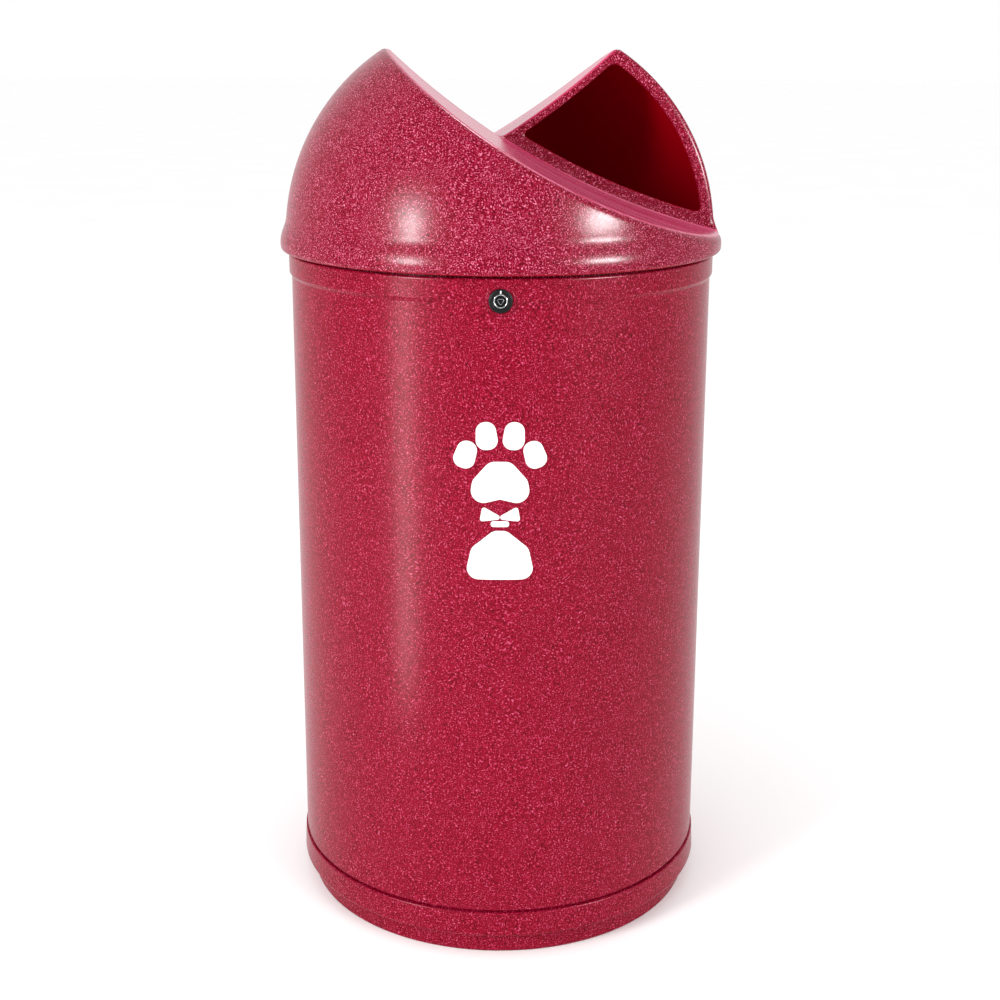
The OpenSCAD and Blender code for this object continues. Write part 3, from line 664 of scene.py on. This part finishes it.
def surface_net(distance, low, high, step):
    """Vertices, normals and quads of the surface where the distance is zero."""
    axes = [np.arange(a, b + step, step) for a, b in zip(low, high)]
    grid = np.stack(np.meshgrid(*axes, indexing="ij"), axis=-1)
    value = distance(grid.reshape(-1, 3)).reshape(grid.shape[:3])
    cells = tuple(n - 1 for n in value.shape)
    total = np.zeros((*cells, 3))
    count = np.zeros(cells)
    crossings = []
    for axis in range(3):
        start = np.take(value, range(cells[axis]), axis)
        end = np.take(value, range(1, cells[axis] + 1), axis)
        crossed = (start < 0) != (end < 0)
        others = [k for k in range(3) if k != axis]
        for k in others:
            edge = [slice(None)] * 3
            edge[k] = [0, -1]
            crossed[tuple(edge)] = False
        index = np.argwhere(crossed)
        share = start[crossed] / (start[crossed] - end[crossed])
        point = grid[tuple(index.T)].copy()
        point[:, axis] += share * step
        around = []
        for da, db in ((0, 0), (1, 0), (1, 1), (0, 1)):
            cell = index.copy()
            cell[:, others[0]] -= da
            cell[:, others[1]] -= db
            np.add.at(total, tuple(cell.T), point)
            np.add.at(count, tuple(cell.T), 1)
            around.append(cell)
        flip = (start[crossed] < 0) == (axis == 1)
        crossings.append((around, flip))
    used = count > 0
    number = -np.ones(cells, int)
    number[used] = np.arange(used.sum())
    points = total[used] / count[used][:, None]
    quads = []
    for around, flip in crossings:
        ring = np.stack([number[tuple(cell.T)] for cell in around], axis=1)
        ring[flip] = ring[flip][:, ::-1]
        quads.append(ring)
    for _ in range(NET_ROUNDS):
        slopes = slope_of(distance, points)
        size = np.maximum((slopes**2).sum(1), 0.2)
        move = (distance(points) / size)[:, None] * slopes
        points -= np.clip(move, -step / 2, step / 2)
    slopes = slope_of(distance, points, NORMAL_REACH)
    normals = slopes / np.maximum(np.linalg.norm(slopes, axis=1), 1e-9)[:, None]
    return points, normals, np.concatenate(quads)


def surface_object(name, distance, low, high, step, material):
    """An object whose surface is where the distance is zero, with normals from the distance's slope."""
    points, normals, quads = surface_net(distance, low, high, step)
    mesh = bpy.data.meshes.new(name)
    mesh.from_pydata(points.tolist(), [], quads.tolist())
    mesh.validate()
    mesh.shade_smooth()
    mesh.normals_split_custom_set_from_vertices(normals.tolist())
    return make_object(name, mesh, material)


# ---- Hood ----


def ramp_distance(x, z):
    """Depth below one ramp's arc is negative, height above it is positive."""
    return RAMP_R - np.hypot(x - RAMP_CX, z - RAMP_CZ)


def cut_by_ramps(solid, x, y, z, inset=0.0):
    """A dome's distance with the two ramps, their upright faces and the hinge's room cut from it."""
    front = rounded_min(ramp_distance(x, z), -y, RAMP_FOOT) + inset
    back = rounded_min(ramp_distance(-x, z), y, RAMP_FOOT) + inset
    room = np.maximum(np.maximum(np.abs(x) - PAD_X, PAD_Y - y), z - PAD_TOP)
    cut = rounded_max(rounded_max(solid, front, RAMP_EDGE), back, RAMP_EDGE)
    return rounded_max(cut, inset - room, ROOM_EDGE)


def dome_distance(x, y, z):
    """Distance to the dome's sphere."""
    return np.sqrt(x * x + y * y + (z - DOME_Z) ** 2) - DOME_R


def hood_outside(x, y, z):
    """Distance to the hood's outside, without its bottom."""
    lip = rounded_max(np.hypot(x, y) - LIP_R, z - BODY_H - LIP_H, LIP_TOP_EDGE)
    solid = rounded_min(dome_distance(x, y, z), lip, LIP_FILLET)
    pad = np.maximum(np.maximum(np.abs(x) - PAD_X, y - PAD_Y), np.maximum(PAD_IN_Y - y, z - PAD_TOP))
    return rounded_min(cut_by_ramps(solid, x, y, z), pad, PAD_FILLET)


def hood_inside(x, y, z):
    """Distance to the hood's hollow."""
    return cut_by_ramps(dome_distance(x, y, z) + DOME_WALL, x, y, z, DOME_WALL)


def mouth_outline(x, z):
    """Distance to a mouth's outline in its face."""
    under = FRAME_LOW - ramp_distance(x, z)
    over = ramp_distance(-x, z) + FRAME_HIGH
    side = np.hypot(x, z - DOME_Z) - DOME_R + FRAME_SIDE
    return rounded_max(rounded_max(under, side, MOUTH_ROUND), over, MOUTH_ROUND)


def hood_distance(points):
    """Distance to the hood's dome, ramps, faces and lip."""
    x, y, z = points.T
    under = HOOD_Z + SEAM_H - z
    outside = rounded_max(hood_outside(x, y, z), under, LIP_UNDER_EDGE)
    shell = rounded_max(np.maximum(outside, -hood_inside(x, y, z)), under, SEAM_EDGE)
    for side in (1, -1):
        through = np.abs(side * y - DOME_WALL / 2) - DOME_WALL
        mouth = np.maximum(mouth_outline(side * x, z), through)
        shell = rounded_max(shell, -mouth, MOUTH_EDGE)
    return shell


def mark_hood(mesh):
    """Marks the inside of the wall, which gets the plain deep red of painted shade."""
    flat = np.empty(3 * len(mesh.vertices))
    mesh.vertices.foreach_get("co", flat)
    x, y, z = flat.reshape(-1, 3).T
    depth = -hood_outside(x, y, z)
    inside = np.clip((depth - INSIDE_SHADE_DEPTH) / INSIDE_SHADE_FADE, 0, 1)
    mesh.attributes.new("inside", "FLOAT", "POINT").data.foreach_set("value", inside)


def make_hood():
    """The moulded dome, and the spigot inside its lip."""
    step = NET_STEP
    low = (-LIP_R - 3 * step, -LIP_R - 3 * step, HOOD_Z - 3 * step)
    high = (LIP_R + 3 * step, LIP_R + 3 * step, HOOD_HIGH.z + 3 * step)
    dome = surface_object("hood_dome", hood_distance, low, high, step, HOOD_POLYETHYLENE)
    mark_hood(dome.data)
    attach(dome, "hood")
    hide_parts("hood_shell")

    seat = HOOD_Z + SEAM_H
    shoulder = seat + HOOD_WALL
    inner = SPIGOT_R - HOOD_WALL
    spigot = lathe(
        "hood_spigot",
        [
            (inner, SPIGOT_Z, 1 * MM),
            (SPIGOT_R, SPIGOT_Z, 2 * MM),
            (SPIGOT_R, seat, 0),
            (DOME_R - HOOD_WALL + 1 * MM, seat, 0),
            (DOME_R - HOOD_WALL + 1 * MM, shoulder, 0),
            (inner, shoulder, 1 * MM),
        ],
        HOOD_POLYETHYLENE,
    )
    notch = LOCK_BOSS_R + 3 * MM
    pad_face = STRIKER_LOW.y
    pad = block(
        "striker_pad",
        (STRIKER_LOW.x - 2 * MM, -SPIGOT_R + 4 * MM, SPIGOT_Z),
        (STRIKER_HIGH.x + 2 * MM, pad_face, shoulder - 1 * MM),
        HOOD_POLYETHYLENE,
    )
    combine(spigot, [pad], "UNION")
    lock_notch = block(
        "lock_notch",
        (-notch, -SPIGOT_R - 1 * MM, SPIGOT_Z - 1 * MM),
        (notch, -inner + 8 * MM, LOCK_Z + notch),
        HOOD_POLYETHYLENE,
    )
    hinge_notch = block(
        "hinge_notch",
        (-PAD_X - 6 * MM, PAD_IN_Y - 3 * MM, SPIGOT_Z - 1 * MM),
        (PAD_X + 6 * MM, SPIGOT_R + 1 * MM, HOOD_Z),
        HOOD_POLYETHYLENE,
    )
    combine(spigot, [lock_notch, hinge_notch], "DIFFERENCE")
    smooth_by_angle(spigot)
    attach(spigot, "hood")
    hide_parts("hood_shell")


# ---- Body and base ----


def make_body():
    """The moulded wall with its top band, the lock's boss and the hinge's pad."""
    band_z = BODY_H - BAND_H
    step_z = band_z - BAND_STEP
    stepped_r = FOOT_R - FOOT_STEP
    over_skirt = BASE_HIGH.z + 1 * MM
    wall = lathe(
        "body_wall",
        [
            (FOOT_FLANGE_R, FOOT_Z, 1 * MM),
            (stepped_r, FOOT_Z, 2 * MM),
            (stepped_r, over_skirt, 0),
            (FOOT_R, over_skirt + FOOT_STEP, 1.5 * MM),
            (BODY_R, step_z, 2 * MM),
            (BAND_R, band_z, 2 * MM),
            (BAND_R, BODY_H, 3 * MM),
            (BAND_R - WALL, BODY_H, 1 * MM),
            (BAND_R - WALL, band_z, 2 * MM),
            (BODY_R - WALL, step_z, 2 * MM),
            (FOOT_R - WALL, over_skirt + FOOT_STEP, 0),
            (stepped_r - WALL, over_skirt, 0),
            (stepped_r - WALL, FOOT_Z + WALL, 4 * MM),
            (FOOT_FLANGE_R, FOOT_Z + WALL, 1 * MM),
        ],
        POLYETHYLENE,
        segments=256,
    )
    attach(wall, "bin_body")
    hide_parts("body_shell")

    seat = -(LOCK_FACE_Y + LOCK_HEAD_T)
    boss = lathe(
        "lock_boss",
        [
            (LOCK_BARREL_R, -LOCK_BOSS_IN_Y, 0),
            (LOCK_BOSS_R, -LOCK_BOSS_IN_Y, 1 * MM),
            (LOCK_BOSS_R, seat, 1.2 * MM),
            (LOCK_BARREL_R, seat, 0),
        ],
        POLYETHYLENE,
        segments=64,
        place=AT_LOCK,
    )
    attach(boss, "bin_body")
    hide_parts("body_shell")

    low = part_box("hinge_body_leaf")[0].z - 4 * MM
    pad = block(
        "hinge_pad",
        (-PAD_X, PAD_IN_Y, low),
        (PAD_X, PAD_Y, BODY_H - 3 * MM),
        POLYETHYLENE,
        round_by=1.5 * MM,
    )
    smooth_by_angle(pad, 50)
    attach(pad, "bin_body")
    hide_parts("body_shell")


def around(count, radius, start_degrees):
    """Points spaced evenly on a circle round the axis."""
    for i in range(count):
        angle = math.radians(start_degrees) + 2 * math.pi * i / count
        yield radius * math.cos(angle), radius * math.sin(angle)


def make_base():
    """The plinth, skirt and floor, with the liner's ribs, the bolt bosses and the anchor holes."""
    skirt_top_r = SKIRT_R - SKIRT_FLARE
    inner_r = FOOT_R - FOOT_STEP + SKIRT_GAP
    tray_r = FOOT_FLANGE_R - 2 * MM
    base = lathe(
        "base_shell",
        [
            (DRAIN_R, 0, 1 * MM),
            (PLINTH_R, 0, 4 * MM),
            (PLINTH_R, PLINTH_H, 1.5 * MM),
            (SKIRT_R, PLINTH_H, 2.5 * MM),
            (skirt_top_r, BASE_HIGH.z, 1.5 * MM),
            (inner_r, BASE_HIGH.z, 0.6 * MM),
            (inner_r, FOOT_Z, 0),
            (tray_r, FOOT_Z, 1 * MM),
            (tray_r, FOOT_Z - WALL, 0),
            (PLINTH_R - WALL, FOOT_Z - WALL, 0),
            (PLINTH_R - WALL, FLOOR_T, 3 * MM),
            (DRAIN_R, FLOOR_T, 1 * MM),
        ],
        POLYETHYLENE,
        segments=256,
    )
    rib_end = LINER_IN_R + SHEET - 8 * MM
    rib_top = FLOOR_T + RIB_H
    ribs = [
        block("rib_x", (-rib_end, -RIB_W / 2, FLOOR_T / 2), (rib_end, RIB_W / 2, rib_top), POLYETHYLENE),
        block("rib_y", (-RIB_W / 2, -rib_end, FLOOR_T / 2), (RIB_W / 2, rib_end, rib_top), POLYETHYLENE),
    ]
    bosses = [
        rod("boss", BOSS_R, (x, y, FLOOR_T / 2), (x, y, FOOT_Z), POLYETHYLENE)
        for x, y in around(BOLTS_N, BOLT_CIRCLE_R, 30)
    ]
    combine(base, ribs + bosses, "UNION")
    holes = [
        rod("anchor_hole", ANCHOR_R, (x, y, -0.01), (x, y, FLOOR_T + 0.001), POLYETHYLENE)
        for x, y in around(4, ANCHOR_PCD / 2, 45)
    ]
    holes.append(rod("drain", DRAIN_R, (0, 0, -0.01), (0, 0, rib_top + 0.01), POLYETHYLENE))
    combine(base, holes, "DIFFERENCE")
    smooth_by_angle(base)
    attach(base, "bin_body")
    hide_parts("base_moulding")


# ---- Lock ----


def make_lock():
    """The lock's black head and barrel, with the white mark at its top."""
    face = -LOCK_FACE_Y
    seat = face - LOCK_HEAD_T
    recess_r = 9 * MM
    recess = face - 3.6 * MM
    bore = 6.05 * MM
    housing = lathe(
        "lock_head",
        [
            (bore, -HOUSING_HIGH.y, 0),
            (LOCK_BARREL_R, -HOUSING_HIGH.y, 0.6 * MM),
            (LOCK_BARREL_R, seat, 0),
            (LOCK_HEAD_R, seat, 0.3 * MM),
            (LOCK_HEAD_R, face - 0.6 * MM, 0.6 * MM),
            (LOCK_HEAD_R - 2 * MM, face, 0.8 * MM),
            (recess_r + 0.8 * MM, face, 0.3 * MM),
            (recess_r, face - 0.8 * MM, 0.2 * MM),
            (recess_r, recess, 0),
            (bore, recess, 0),
        ],
        NYLON,
        segments=96,
        place=AT_LOCK,
    )
    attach(housing, "bin_body")
    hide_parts("lock_housing")

    mark = block(
        "lock_mark",
        (-0.8 * MM, LOCK_FACE_Y - 0.15 * MM, LOCK_Z + LOCK_HEAD_R - 5 * MM),
        (0.8 * MM, LOCK_FACE_Y + 0.5 * MM, LOCK_Z + LOCK_HEAD_R - 1.8 * MM),
        FILM,
        round_by=0.1 * MM,
    )
    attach(mark, "bin_body")


def triangle(radius, corner):
    """A three-sided outline that points down, with round corners."""
    corners = []
    for turn in range(3):
        angle = math.radians(-90 + 120 * turn)
        corners.append((radius * math.cos(angle), radius * math.sin(angle), corner))
    return round_corners(corners, 6)


def collar(name, loops, material, place):
    """A closed collar through matching outlines, each at its own height."""
    build = bmesh.new()
    rings = [[build.verts.new((p.x, p.y, height)) for p in outline] for outline, height in loops]
    for ring, other in zip(rings, rings[1:] + rings[:1]):
        for i in range(len(ring)):
            j = (i + 1) % len(ring)
            build.faces.new((ring[i], ring[j], other[j], other[i]))
    bmesh.ops.recalc_face_normals(build, faces=build.faces)
    mesh = bpy.data.meshes.new(name)
    build.to_mesh(mesh)
    build.free()
    mesh.transform(place)
    made = make_object(name, mesh, material)
    smooth_by_angle(made, 50)
    return made


def make_lock_core():
    """The turning core: a disc in a rubbed rim, a raised three-sided key socket, and the shaft to the cam."""
    top = -ROTOR_LOW.y
    disc = top - 2.2 * MM
    disc_r = 8.4 * MM
    shaft_r = 6 * MM
    rim_in = disc_r - 1.7 * MM
    rim_top = top - 0.4 * MM
    cam_plane = -CAM_LOW.y
    core = lathe(
        "lock_core_disc",
        [
            (0, cam_plane, 0),
            (shaft_r, cam_plane, 0.3 * MM),
            (shaft_r, disc - 1 * MM, 0),
            (disc_r, disc - 1 * MM, 0),
            (disc_r, disc, 0.2 * MM),
            (0, disc, 0),
        ],
        BLACK_CHROME,
        segments=64,
        place=AT_LOCK,
    )
    rim = lathe(
        "lock_core_rim",
        [
            (rim_in, disc - 0.2 * MM, 0),
            (disc_r, disc - 0.2 * MM, 0),
            (disc_r, rim_top, 0.8 * MM),
            (rim_in, rim_top, 0.8 * MM),
        ],
        WORN_CHROME,
        segments=64,
        place=AT_LOCK,
    )
    wide = triangle(6.2 * MM, 1.8 * MM)
    socket = collar(
        "lock_core_socket",
        [
            (wide, disc - 0.2 * MM),
            (wide, top - 0.5 * MM),
            (triangle(5.6 * MM, 1.6 * MM), top),
            (triangle(4.6 * MM, 1.2 * MM), top),
            (triangle(4 * MM, 1 * MM), top - 0.5 * MM),
            (triangle(4 * MM, 1 * MM), disc - 0.2 * MM),
        ],
        WORN_CHROME,
        AT_LOCK,
    )
    half = 4 * MM
    drive = block(
        "lock_core_drive",
        (-half, CAM_LOW.y - 1 * MM, LOCK_Z - half),
        (half, ROTOR_HIGH.y, LOCK_Z + half),
        BLACK_CHROME,
        round_by=0.3 * MM,
    )
    for piece in (core, rim, socket, drive):
        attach(piece, "lock_core")
        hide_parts("lock_rotor")


# ---- Liner ----


def make_liner():
    """The liner's wall with its rolled rim and swages."""
    outer = LINER_IN_R + SHEET
    corners = [(LINER_IN_R, LINER_Z, 0), (outer, LINER_Z, 0)]
    for share in SWAGE_SHARE:
        z = LINER_Z + (LINER_TOP - LINER_Z) * share
        corners += [
            (outer, z - SWAGE_R, 3 * MM),
            (outer + SWAGE_R - 2 * SHEET, z, 4 * MM),
            (outer, z + SWAGE_R, 3 * MM),
        ]
    bead = LINER_TOP - RIM_BEAD_R
    corners += [
        (outer, bead - RIM_BEAD_R, 0.5 * MM),
        (LINER_HIGH.x, bead - RIM_BEAD_R, RIM_BEAD_R),
        (LINER_HIGH.x, LINER_TOP, RIM_BEAD_R),
        (LINER_IN_R, LINER_TOP, RIM_BEAD_R),
    ]
    for share in reversed(SWAGE_SHARE):
        z = LINER_Z + (LINER_TOP - LINER_Z) * share
        corners += [
            (LINER_IN_R, z + SWAGE_R, 3 * MM),
            (LINER_IN_R + SWAGE_R - 2 * SHEET, z, 4 * MM),
            (LINER_IN_R, z - SWAGE_R, 3 * MM),
        ]
    wall = lathe("liner_sheet", corners, GALVANISED, segments=192)
    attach(wall, "liner")
    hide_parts("liner_wall")


def make_liner_fixings():
    """The handle brackets' rivets, and the spot welds of the liner's base and seam."""
    lean = math.asin(RIVET_Y / LINER_IN_R)
    angles = [turn + side * lean for turn in (0, math.pi) for side in (-1, 1)]
    heights = [RIVET_Z - RIVET_RISE, RIVET_Z + RIVET_RISE]
    seat = LINER_IN_R - BRACKET_T
    outer = LINER_IN_R + SHEET
    head_spots = [on_drum(seat, angle, z, -1) for angle in angles for z in heights]
    tail_spots = [on_drum(outer, angle, z) for angle in angles for z in heights]
    heads = domed_heads("rivet_heads", head_spots, RIVET_HEAD_R, RIVET_HEAD_H, ALUMINIUM)
    tails = domed_heads("rivet_tails", tail_spots, RIVET_TAIL_R, RIVET_HEAD_H, ALUMINIUM)

    ring = [2 * math.pi * i / BASE_WELDS for i in range(BASE_WELDS)]
    base = [on_drum(outer, angle, LINER_Z + BASE_WELD_UP) for angle in ring]
    first = LINER_Z + SEAM_END
    pitch = (LINER_TOP - SEAM_END - first) / (SEAM_WELDS - 1)
    seam = [on_drum(outer, SEAM_ANGLE, first + i * pitch) for i in range(SEAM_WELDS)]
    welds = domed_heads("spot_welds", base + seam, WELD_R, WELD_H, GALVANISED)

    for piece, slot in ((heads, "rivet"), (tails, "rivet"), (welds, "galvanised_sheet")):
        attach(piece, "liner")
    for piece in (heads, tails):
        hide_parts("liner_rivets")


# ---- Studio ----


def area_light(name, place, target, size, power, shades=True, shines=True):
    """A soft box that faces a point. It can be kept from shading surfaces, or from shining in them."""
    data = bpy.data.lights.new(name, "AREA")
    data.shape = "RECTANGLE"
    data.size, data.size_y = size
    data.energy = power
    made = bpy.data.objects.new(name, data)
    bpy.context.scene.collection.objects.link(made)
    made.visible_diffuse = shades
    made.visible_glossy = shines
    made.location = place
    made.rotation_euler = (Vector(target) - Vector(place)).to_track_quat("-Z", "Y").to_euler()


def make_studio():
    """A pale floor, a white surround, the soft boxes and the camera."""
    build = bmesh.new()
    bmesh.ops.create_grid(build, x_segments=1, y_segments=1, size=FLOOR_SIZE)
    mesh = bpy.data.meshes.new("floor")
    build.to_mesh(mesh)
    build.free()
    floor = make_object("floor", mesh, pale_floor())

    world = bpy.data.worlds.new("surround")
    world.use_nodes = True
    sky = world.node_tree.nodes["Background"]
    sky.inputs["Color"].default_value = (1, 1, 1, 1)
    sky.inputs["Strength"].default_value = 1.0
    scene = bpy.context.scene
    scene.world = world
    scene.view_settings.view_transform = "Standard"

    middle = (0, 0, 0.6)
    area_light("left_box", (-2.4, -2.2, 1.8), middle, (0.9, 0.9), 66)
    area_light("fill", (2.4, -2.9, 1.9), middle, (1.2, 1.2), 42, shines=False)
    area_light("left_card", (-2.28, -2.29, 1.35), middle, (0.3, 0.8), 130, shades=False)
    area_light("low_card", (-0.6, -0.62, 0.45), (-0.11, -0.25, 0.45), (0.14, 0.7), 4, shades=False)
    area_light("right_card", (2.5, -1.95, 1.55), middle, (0.9, 0.45), 270, shades=False)
    area_light("top_card", (0.63, 1.03, 2.83), (0, -0.1, 1), (0.5, 0.5), 20, shades=False)

    data = bpy.data.cameras.new("camera")
    data.sensor_width = 36
    data.lens = CAMERA_LENS
    camera = bpy.data.objects.new("camera", data)
    scene.collection.objects.link(camera)
    camera.location = (0, -CAMERA_AWAY, BODY_H + CAMERA_OVER)
    down = Matrix.Rotation(math.radians(90 - CAMERA_DOWN), 3, "X")
    lean = Matrix.Rotation(math.radians(CAMERA_LEAN), 3, "Z")
    camera.rotation_euler = (down @ lean).to_euler()
    scene.camera = camera


finish_cad_nodes()
make_hood()
make_body()
make_base()
make_lock()
make_lock_core()
make_liner()
make_liner_fixings()
make_studio()
